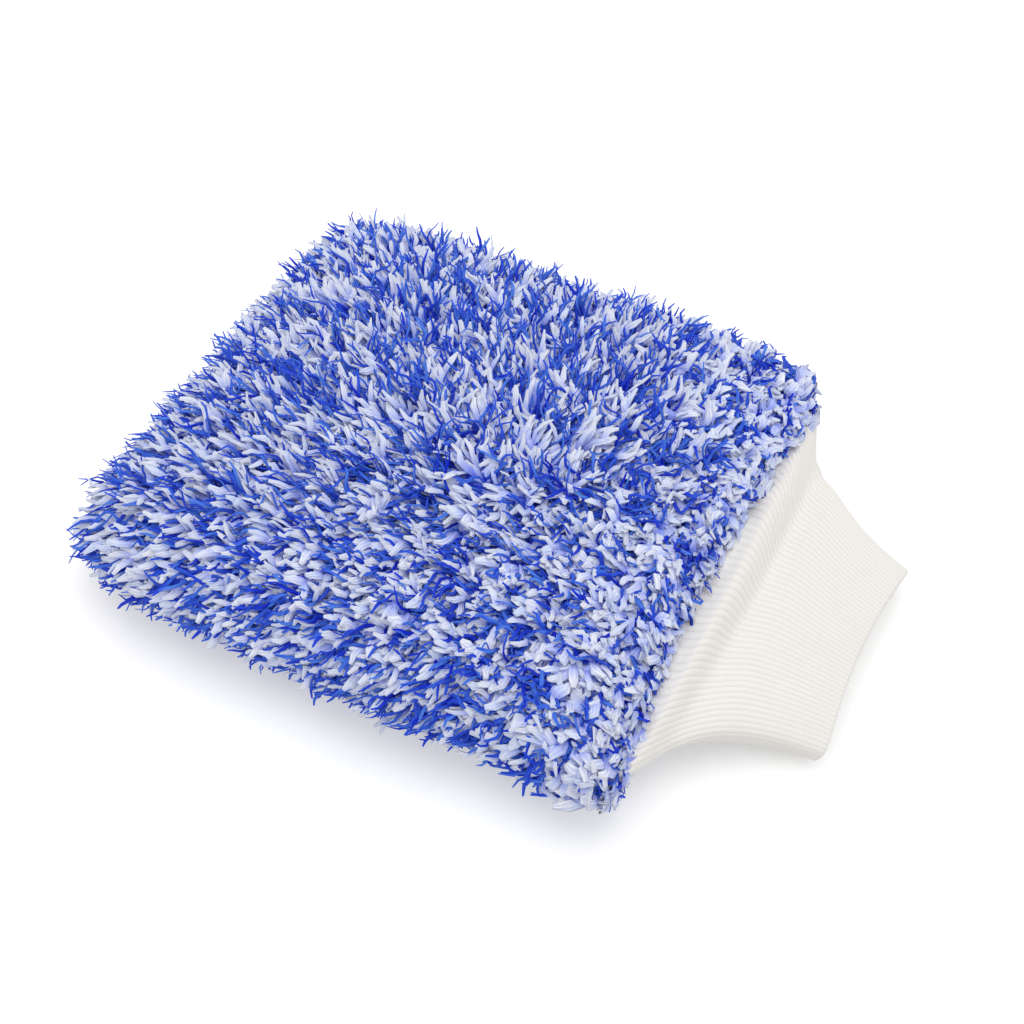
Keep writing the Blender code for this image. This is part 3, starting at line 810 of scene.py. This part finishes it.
for side, half_name in ((1, "upper"), (-1, "lower")):
    bag = felt_bags[side]
    for yarn, finish, colour in ((WHITE, WHITE_YARN, "white"), (BLUE, BLUE_YARN, "blue")):
        roots, normals, over = scatter(side, yarn.gap[side])
        fringe = over > -FRINGE
        for pick, place, kept in ((~fringe, "pile", pile_pieces), (fringe, "mouth", fringe_pieces)):
            name = f"{half_name}_{colour}_{place}"
            kept[side] += plant(name, yarn, finish, bag, roots[pick], normals[pick])
    for piece in pile_pieces[side]:
        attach(piece, "mitt_body")
    for piece in fringe_pieces[side]:
        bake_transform(piece)
    for piece in pile_pieces[side] + fringe_pieces[side]:
        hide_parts(f"{half_name}_pile")

# %% [markdown]
# The cuff is one strip of rib knit, sewn into a tube and doubled: it leaves the mouth of the bag, runs to
# the wrist, folds in and comes back inside itself. Its ribs run along the arm, crowd together where the tube
# narrows and stand higher by the mouth. A lofted sheet follows the whole way round the fold, and each rib is
# a raised wave round the tube. A soft roll stands where the knit leaves the pile, with a crease behind it.

# %% Rib cuff
RIBS = 112
RIB_POINTS = 6
RIB_RISE = 0.00012
RIB_POWER = 0.7
TUCK_LOSS = 0.5
ROOT_RIB_GAIN = 2.0
ROOT_RIB_RUN = 0.022
ROOT_TUCK = 0.010
CUFF_LENGTH = 0.058
CUFF_WALL = 0.0025
ROOT_HALF_WIDTH = 0.082
ROOT_RADIUS = 0.010
WRIST_HALF_WIDTH = 0.0425
WRIST_HALF_HEIGHT = 0.0072
TAPER_LENGTH = 0.025
ROOT_FLARE = 0.009
ROOT_FLARE_RUN = 0.0075
FAR_SPREAD = 0.004
FAR_SPREAD_AT = 0.012
FAR_SPREAD_RUN = 0.018
ROLL_FROM = -0.004
ROLL_SHARE = 0.22
ROLL_RISE = 0.0034
ROLL_WIDTH = 0.0058
VALLEY_AT = 0.0145
VALLEY_SLANT = 0.09
VALLEY_DEPTH = 0.0040
VALLEY_WIDTH = 0.0050
VALLEY_RUN_OUT = 0.0075
DIP_WIDTH = 0.0042
DIP_DEPTH = 0.0016
DIP_CENTRE_Y = 0.020
DIP_HALF_WIDTH = 0.045
DIP_SLANT = 0.05
FLAT_FROM = 0.004
WRIST_RECESS = 0.0045
WRIST_SKEW = 0.002
TUBE_POWER = 4
ROOT_WRAP = math.radians(25)
ROOT_EASE = 0.004
ROOT_STATIONS = 10
OUTER_STATIONS = 64
FOLD_STATIONS = 8
INNER_STATIONS = 36
TUBE_SAMPLES = 1440
RIB_DARK = (0.848, 0.822, 0.778)
RIB_LIGHT = (0.884, 0.862, 0.822)
# Painted shade in the grooves between the ribs.
RIB_GROOVE_SHADE = (0.780, 0.754, 0.708)
RIB_COURSES = 190.0
CLOUD_SCALE = 60.0
RIB_BUMP = 0.35
LOOP_DEPTH = 0.0003

CUFF_SLOPE = math.asin(SEAM_Z / math.hypot(CUFF_LENGTH, WRIST_HALF_HEIGHT))
CUFF_SLOPE -= math.atan2(WRIST_HALF_HEIGHT, CUFF_LENGTH)


def cuff_half_height(s):
    return ROOT_RADIUS + (WRIST_HALF_HEIGHT - ROOT_RADIUS) * max(s, 0.0) / CUFF_LENGTH


def cuff_half_widths(s):
    """Half widths of the cuff on its near and far sides."""
    s = 0.5 * (s + math.hypot(s, ROOT_EASE))
    end = math.exp(-CUFF_LENGTH / TAPER_LENGTH)
    share = (math.exp(-s / TAPER_LENGTH) - end) / (1.0 - end)
    near = WRIST_HALF_WIDTH + (ROOT_HALF_WIDTH - WRIST_HALF_WIDTH) * share
    near += ROOT_FLARE * math.exp(-(s / ROOT_FLARE_RUN) ** 2)
    return near, near + FAR_SPREAD * math.exp(-((s - FAR_SPREAD_AT) / FAR_SPREAD_RUN) ** 2)


def cuff_section(s, inset):
    """Section across the cuff as points evenly spaced round it, with the way outwards at each."""
    near, far = cuff_half_widths(s)
    angle = np.linspace(0.0, 2 * np.pi, TUBE_SAMPLES, endpoint=False)
    power = 2.0 / TUBE_POWER
    y = np.sign(np.cos(angle)) * np.abs(np.cos(angle)) ** power
    z = np.sign(np.sin(angle)) * np.abs(np.sin(angle)) ** power
    loop = np.stack([np.where(y > 0, far - inset, near - inset) * y, (cuff_half_height(s) - inset) * z], -1)
    closed = np.concatenate([loop, loop[:1]])
    run = np.concatenate([[0.0], np.cumsum(np.linalg.norm(np.diff(closed, axis=0), axis=1))])
    even = np.linspace(0.0, run[-1], RIBS * RIB_POINTS, endpoint=False)
    points = np.stack([np.interp(even, run, closed[:, k]) for k in (0, 1)], -1)
    tangent = unit(np.roll(points, -1, 0) - np.roll(points, 1, 0))
    return points, np.stack([tangent[:, 1], -tangent[:, 0]], -1)


def recess(y, s):
    """How far the middle of the wrist edge lies back from its two corners."""
    near, far = cuff_half_widths(s)
    share = np.clip(y / np.where(y > 0, far, near), -1.0, 1.0)
    middle = WRIST_RECESS * (1.0 - share ** 2) - WRIST_SKEW * share
    return middle * max(0.0, s / CUFF_LENGTH) ** 3


def crease(y, s):
    """Rise of the roll by the pile less the depth of the crease behind it, closer in on the near side."""
    valley_at = VALLEY_AT + VALLEY_SLANT * np.minimum(y, 0.0)
    roll_at = ROLL_SHARE * valley_at
    roll = ROLL_RISE * np.exp(-((s - roll_at) / ROLL_WIDTH) ** 2)
    width = np.where(s < valley_at, VALLEY_WIDTH, VALLEY_RUN_OUT)
    valley = VALLEY_DEPTH * np.exp(-((s - valley_at) / width) ** 2)
    return (roll - valley) * np.clip((s - ROLL_FROM) / (roll_at - ROLL_FROM), 0.0, 1.0)


def dip(y, s):
    """Sag of the upper side behind the roll, deepest towards the far side."""
    along = np.exp(-((s - VALLEY_AT - DIP_SLANT * (y - DIP_CENTRE_Y)) / DIP_WIDTH) ** 2)
    return DIP_DEPTH * along * np.exp(-((y - DIP_CENTRE_Y) / DIP_HALF_WIDTH) ** 2)


rib_wave = np.abs(np.sin(np.pi * np.arange(RIBS * RIB_POINTS) / RIB_POINTS)) ** RIB_POWER


def cuff_ring(s, inset, rise, wrap=0.0):
    """Ring of the cuff in its own frame: along the arm, across, and out of the plane."""
    points, outwards = cuff_section(s, inset)
    higher = 1.0 + ROOT_RIB_GAIN * math.exp(-(s / ROOT_RIB_RUN) ** 2)
    raised = points + (rise * higher * RIB_RISE * rib_wave)[:, None] * outwards
    y, z = raised[:, 0], raised[:, 1]
    z = z + np.clip(z / FLAT_FROM, -1.0, 1.0) * crease(y, s) - np.clip(z / FLAT_FROM, 0.0, 1.0) * dip(y, s)
    along = s - recess(y, s) - np.abs(z) * math.sin(wrap)
    return np.stack([along, y, z * math.cos(wrap)], -1)


def on_cuff(points):
    """From the cuff's own frame to the frame of the mitt."""
    c, s = math.cos(CUFF_SLOPE), math.sin(CUFF_SLOPE)
    x = MOUTH_X + points[..., 0] * c + points[..., 2] * s
    z = SEAM_Z - points[..., 0] * s + points[..., 2] * c
    return np.stack([x, points[..., 1], z], -1)


def run_length(path):
    return float(np.linalg.norm(np.diff(path, axis=0), axis=1).sum())


def cuff_flat():
    """Strip that the cuff is made from: as wide as its mean girth, and twice its length with the tuck."""
    sections = [cuff_section(s, 0.0)[0] for s in (0.0, CUFF_LENGTH)]
    girths = [run_length(np.concatenate([loop, loop[:1]])) for loop in sections]
    return sum(girths) / 2, 2 * (CUFF_LENGTH + ROOT_TUCK)


def cuff_rings():
    fold = CUFF_LENGTH - CUFF_WALL / 2
    tucked = np.linspace(1.0, 0.0, ROOT_STATIONS, endpoint=False)
    rings = [cuff_ring(-ROOT_TUCK * t, 0.0, 1.0 - TUCK_LOSS * t, ROOT_WRAP * t) for t in tucked]
    rings += [cuff_ring(s, 0.0, 1.0) for s in np.linspace(0.0, fold, OUTER_STATIONS)]
    for turn in np.linspace(0.0, math.pi, FOLD_STATIONS + 2)[1:-1]:
        inset = CUFF_WALL / 2 * (1.0 - math.cos(turn))
        rings.append(cuff_ring(fold + CUFF_WALL / 2 * math.sin(turn), inset, math.cos(turn)))
    rings += [cuff_ring(s, CUFF_WALL, -1.0) for s in np.linspace(fold, 0.0, INNER_STATIONS)]
    rings += [cuff_ring(-ROOT_TUCK * t, CUFF_WALL, TUCK_LOSS * t - 1.0, ROOT_WRAP * t) for t in tucked[::-1]]
    return np.stack(rings)


def tube_sheet(name, rings):
    """Mesh through closed rings, with the map's width round the tube and its height along it."""
    count, around = rings.shape[:2]
    index = np.arange(count * around).reshape(count, around)
    after = np.roll(index, -1, axis=1)
    quads = np.stack([index[:-1], after[:-1], after[1:], index[1:]], -1).reshape(-1, 4)
    k = np.broadcast_to(np.arange(around), (count - 1, around))
    v = np.broadcast_to(np.arange(count - 1)[:, None], (count - 1, around))
    u_corners = np.stack([k, k + 1, k + 1, k], -1) / around
    v_corners = np.stack([v, v, v + 1, v + 1], -1) / (count - 1)
    uv = np.stack([u_corners, v_corners], -1).reshape(-1, 2)
    return mesh_from_arrays(name, rings.reshape(-1, 3), [quads], uv)


def rib_finish():
    made, tree, shader = new_finish("off-white rib knit", 0.92, 0.25)
    loops = place_group(tree, knit_group, Wales=float(RIBS), Courses=RIB_COURSES)
    place = tree.nodes.new("ShaderNodeTexCoord")
    cloud = tree.nodes.new("ShaderNodeTexNoise")
    cloud.inputs["Scale"].default_value = CLOUD_SCALE
    tree.links.new(place.outputs["Object"], cloud.inputs["Vector"])
    plain = mix_colour(tree, cloud.outputs["Fac"], RIB_DARK, RIB_LIGHT)
    # Painted shade: the ribs turn darker in their grooves.
    shaded = mix_colour(tree, loops.outputs["Groove"], plain, RIB_GROOVE_SHADE)
    tree.links.new(shaded, shader.inputs["Base Color"])
    add_bump(tree, shader, loops.outputs["Height"], RIB_BUMP, LOOP_DEPTH)
    return made


RIB_KNIT = rib_finish()
cuff_mesh = tube_sheet("ribbed_cuff", on_cuff(cuff_rings()))
cuff_piece = add_piece("ribbed_cuff", cuff_mesh, RIB_KNIT)
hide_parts("rib_cuff")
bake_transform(cuff_piece)
cuff_flat()
print(f"cuff: {RIBS} ribs, {len(cuff_mesh.polygons)} faces")

# %% [markdown]
# Under the pile lies the knit that carries it, in an upper and a lower panel sewn together round three
# sides. Inside are two thinner lining panels, which hang a little loose in soft wrinkles. Each panel is one
# grid of points, shaped by the same formula as the pile. Its flat size follows from its arcs and its seam
# allowances.

# %% Knit panels and lining
PANEL_STEPS = 110
LINING_SLACK = 0.0007
WRINKLE_SIZE = 0.034
WRINKLE_BEND = 1.3
WRINKLE_BEND_RATE = 2.1
WRINKLE_FADE_RATE = 1.7
WRINKLE_FADE_FROM = 0.8
KNIT_ALLOWANCE = 0.005
LINING_ALLOWANCE = 0.004
KNIT_BUMP = 0.5


def knit_finish(name, wales, courses, loop_colour, gap_shade_colour, roughness):
    """Plain knit cloth with its loops raised and painted shade in the gaps between them."""
    made, tree, shader = new_finish(name, roughness, 0.2)
    loops = place_group(tree, knit_group, Wales=wales, Courses=courses)
    colour = mix_colour(tree, loops.outputs["Groove"], loop_colour, gap_shade_colour)
    tree.links.new(colour, shader.inputs["Base Color"])
    add_bump(tree, shader, loops.outputs["Height"], KNIT_BUMP, LOOP_DEPTH)
    return made


# The second colour of each knit is painted shade in the gaps between its loops.
GROUND_KNIT = knit_finish("blue ground knit", 120.0, 120.0, (0.16, 0.24, 0.66), (0.06, 0.10, 0.36), 0.9)
LINING_CLOTH = knit_finish("pale lining", 190.0, 190.0, (0.80, 0.81, 0.84), (0.56, 0.58, 0.64), 0.85)


def wrinkles(points):
    """Depth of the soft folds of a loose lining, which run mostly along the hand."""
    across = points[..., 1] / WRINKLE_SIZE
    along = points[..., 0] / WRINKLE_SIZE
    bend = WRINKLE_BEND * np.sin(WRINKLE_BEND_RATE * along)
    fade = np.sin(WRINKLE_FADE_RATE * along + WRINKLE_FADE_FROM)
    return LINING_SLACK * (0.5 + 0.5 * np.sin(2 * np.pi * across + bend) * fade)


def panel_flat(plain, mouth, allowance):
    """Flat width and length of a panel: its arcs over the middle, with the allowances of its three seams."""
    middle = PANEL_STEPS // 2
    along = plain[:, middle]
    along = along[along[:, 0] < mouth]
    return run_length(plain[middle]) + 2 * allowance, run_length(along) + allowance


for side, half_name in ((1, "upper"), (-1, "lower")):
    for layer, finish, slot, allowance, loose, held in (
            ("ground_knit", GROUND_KNIT, "ground_knit", KNIT_ALLOWANCE, 0.0, "stretched"),
            ("lining", LINING_CLOTH, "lining", LINING_ALLOWANCE, 1.0, "laid")):
        node = f"{half_name}_{layer}"
        plain = bag_grid(bag_of(node, side), PANEL_STEPS)
        inwards = -loose * wrinkles(plain)[..., None] * grid_normals(plain, side)
        kept = np.maximum(past_lip(plain), plain[..., 0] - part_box(node)[1].x)[1:, 1:] < 0.0
        mesh = grid_sheet(f"{node}_panel", plain + inwards, kept)
        panel = add_piece(f"{node}_panel", mesh, finish)
        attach(panel, "mitt_body")
        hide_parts(node)
        flat = panel_flat(plain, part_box(node)[1].x, allowance)
        size = " x ".join(f"{1000 * side_length:.0f}" for side_length in flat)
        print(f"{node} panel: {len(mesh.polygons)} faces, {size} mm flat")

# %% [markdown]
# The edges are overlocked: a thread winds round the two cut edges, stitch after stitch. Along the bag and
# the lining it is one long coil of thread on the line of the seam. Inside the root of the cuff it is a
# zigzag. A real thread is round and lightly twisted, so a tube of the yarn kind serves again.

# %% Sewn edges
STITCH_PITCH = 0.0026
STITCH_POINTS = 9
THREAD_RADIUS = 0.0004
Thread = namedtuple("Thread", "flatness profile sides crumple")
THREAD = Thread(flatness=1.0, profile=(1.0, 1.0), sides=5, crumple=0.0)
ZIGZAG_FROM = 0.0006
ZIGZAG_TO = 0.0046
THREAD_GAP = 0.0003
ZIGZAG_POINTS = 3
COIL_SHARE = 0.7
COIL_SAMPLES = 2881
UP = np.array([0.0, 0.0, 1.0])
THREAD_TURNS = 900.0
# Painted shade: the thread turns grey where its twist sinks and pale where it rises.
THREAD_SHADED_GREY = (0.70, 0.71, 0.74)
THREAD_PALE = (0.84, 0.84, 0.85)
THREAD_BUMP = 0.4
THREAD_DEPTH = 0.0001


def thread_finish():
    made, tree, shader = new_finish("sewing thread", 0.6, 0.1)
    ends = place_group(tree, yarn_group, Crimps=THREAD_TURNS, Ply=2.0)
    # Painted shade in the hollows of the twist.
    share = math_node(tree, "MULTIPLY_ADD", ends.outputs["Height"], 0.5, 0.5)
    colour = mix_colour(tree, share, THREAD_SHADED_GREY, THREAD_PALE)
    tree.links.new(colour, shader.inputs["Base Color"])
    add_bump(tree, shader, ends.outputs["Height"], THREAD_BUMP, THREAD_DEPTH)
    return made


SEWING_THREAD = thread_finish()


def evenly(path, gap):
    """Points a fixed distance apart along a path."""
    run = np.concatenate([[0.0], np.cumsum(np.linalg.norm(np.diff(path, axis=0), axis=1))])
    even = np.linspace(0.0, run[-1], int(run[-1] / gap) + 1)
    return np.stack([np.interp(even, run, path[:, k]) for k in range(3)], -1)


def sewn(name, line, outwards, body):
    """One sewing thread along a line, which replaces the solid of that seam."""
    column = np.array([COLUMNS // 2])
    mesh = tubes(name, line[None], outwards[None], np.array([THREAD_RADIUS]), THREAD, column)
    piece = add_piece(f"{name}_thread", mesh, SEWING_THREAD)
    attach(piece, body)
    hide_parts(name)
    print(f"{name}: {len(line)} points of thread")


def seam_coil(node):
    """Coil of thread round the U of a seam, and the way out from its middle at each point."""
    low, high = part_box(node)
    tall = (high.z - low.z) / 2 - THREAD_RADIUS
    wide = tall * COIL_SHARE
    inset = wide + THREAD_RADIUS
    bag = Bag(low.x + inset, MOUTH_X + RUN_OUT - (low.x - PILE_TIP_X), high.y - inset, tall, 1)
    angle = np.linspace(0.0, 2 * np.pi, COIL_SAMPLES)
    p, q = np.cos(angle), np.sin(angle)
    larger = np.maximum(np.abs(p), np.abs(q))
    rim = bag_points(bag, p / larger, q / larger)
    rim = evenly(rim[rim[:, 0] < high.x - inset], STITCH_PITCH / STITCH_POINTS)
    along = unit(np.gradient(rim, axis=0))
    aside = np.stack([along[:, 1], -along[:, 0], np.zeros(len(rim))], -1)
    turn = 2 * np.pi * np.arange(len(rim)) / STITCH_POINTS
    outwards = np.cos(turn)[:, None] * aside + np.sin(turn)[:, None] * UP
    reach = wide * np.cos(turn)[:, None] * aside + tall * np.sin(turn)[:, None] * UP
    return rim + reach, outwards


for node in ("shell_seam_overlock", "lining_seam_overlock"):
    sewn(node, *seam_coil(node), "mitt_body")

zigzag_inset = CUFF_WALL + THREAD_RADIUS + THREAD_GAP
zigzag_rings = [cuff_ring(s, zigzag_inset, 0.0) for s in (ZIGZAG_FROM, ZIGZAG_TO)]
swing = 0.5 + 0.5 * np.cos(np.pi * np.arange(RIBS * RIB_POINTS) / ZIGZAG_POINTS)[:, None]
zigzag = (1 - swing) * zigzag_rings[0] + swing * zigzag_rings[1]
inward = -np.sign(zigzag[:, 2:]) * UP
sewn("cuff_seam_overlock", on_cuff(zigzag), inward, "cuff")
